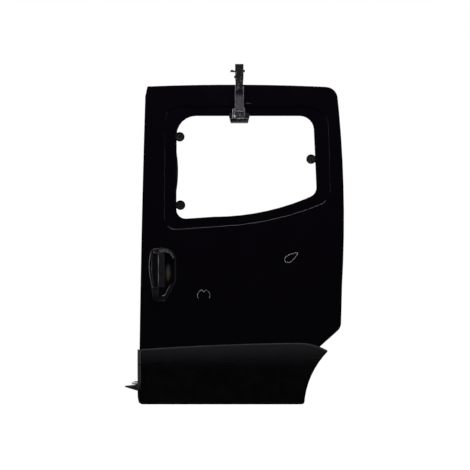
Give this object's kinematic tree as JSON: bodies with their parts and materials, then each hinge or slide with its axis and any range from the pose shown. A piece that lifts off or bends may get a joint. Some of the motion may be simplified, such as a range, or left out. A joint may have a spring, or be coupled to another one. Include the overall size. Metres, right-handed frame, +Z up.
{
  "type": "van sliding door",
  "caption": "Sliding side door of a small van without its window glass, with lower cladding, pull handle, latches and roller arms, hung on a steel hook.",
  "frame": {"origin": "middle of the flat top face of the hook that the door hangs from", "axes": "+X towards the vehicle's rear along the door, +Y into the cabin, +Z up; the picture looks along +Y"},
  "size_m": [0.8584, 0.1966, 1.327],
  "materials": {
    "black_paint": "gloss clear coat over black",
    "primed_steel": "dip primer, satin",
    "bitumen": "matt bitumen sheet",
    "grained_plastic": "moulded grain, unpainted",
    "seal_rubber": "matt moulded rubber",
    "handle_plastic": "satin moulded plastic",
    "zinc_steel": "zinc plated, dulled",
    "roller_nylon": "natural nylon",
    "rusty_steel": "pressed steel with surface rust",
    "hook_steel": "worn dark paint",
    "hook_channel_steel": "grey paint, scuffed"
  },
  "bodies": {
    "door": {"outer_skin": "black_paint", "inner_panel": "black_paint", "inner_panel_rim": "black_paint", "window_frame_inner": "black_paint", "front_pillar_stiffener": "black_paint", "belt_stiffener": "black_paint", "side_impact_beam": "primed_steel", "damping_pad": "bitumen", "lower_cladding": "grained_plastic", "front_edge_seal": "seal_rubber", "window_hinge_bush_upper": "seal_rubber", "window_hinge_bush_lower": "seal_rubber", "window_latch_bush": "seal_rubber", "handle_surround": "handle_plastic", "handle_bowl": "handle_plastic", "handle_pin": "zinc_steel", "front_latch": "zinc_steel", "rear_latch": "zinc_steel", "latch_rod_front": "zinc_steel", "latch_rod_rear": "zinc_steel", "release_unit": "zinc_steel", "inner_handle": "handle_plastic", "rear_hinge_plate": "primed_steel", "buffer_upper": "seal_rubber", "buffer_lower": "seal_rubber", "upper_arm": "zinc_steel", "upper_roller": "roller_nylon", "upper_roller_pin": "zinc_steel", "lower_arm": "rusty_steel", "lower_guide_roller_rear": "roller_nylon", "lower_guide_pin_front": "zinc_steel", "lower_guide_pin_rear": "zinc_steel", "lower_load_roller": "roller_nylon", "lower_load_pin": "zinc_steel", "hook_head": "hook_steel", "hook_cross_pin": "hook_steel", "hook_channel": "hook_channel_steel", "hook_foot": "hook_steel", "hook_pad": "seal_rubber", "hook_bolt": "zinc_steel"},
    "handle_pull": {"handle_grip": "handle_plastic"},
    "guide_roller": {"lower_guide_roller_front": "roller_nylon"}
  },
  "joints": [
    {"name": "handle_swing", "type": "hinge", "parent": "door", "child": "handle_pull", "pos_m": [-0.33, -0.06107, -0.804], "axis": [0, 0, -1], "range_deg": [0, 25], "stiffness_Nm_per_rad": 0.6},
    {"name": "roller_spin", "type": "hinge", "parent": "door", "child": "guide_roller", "pos_m": [-0.408, 0.06617, -1.2565], "axis": [0, 0, 1], "continuous": true}
  ]
}
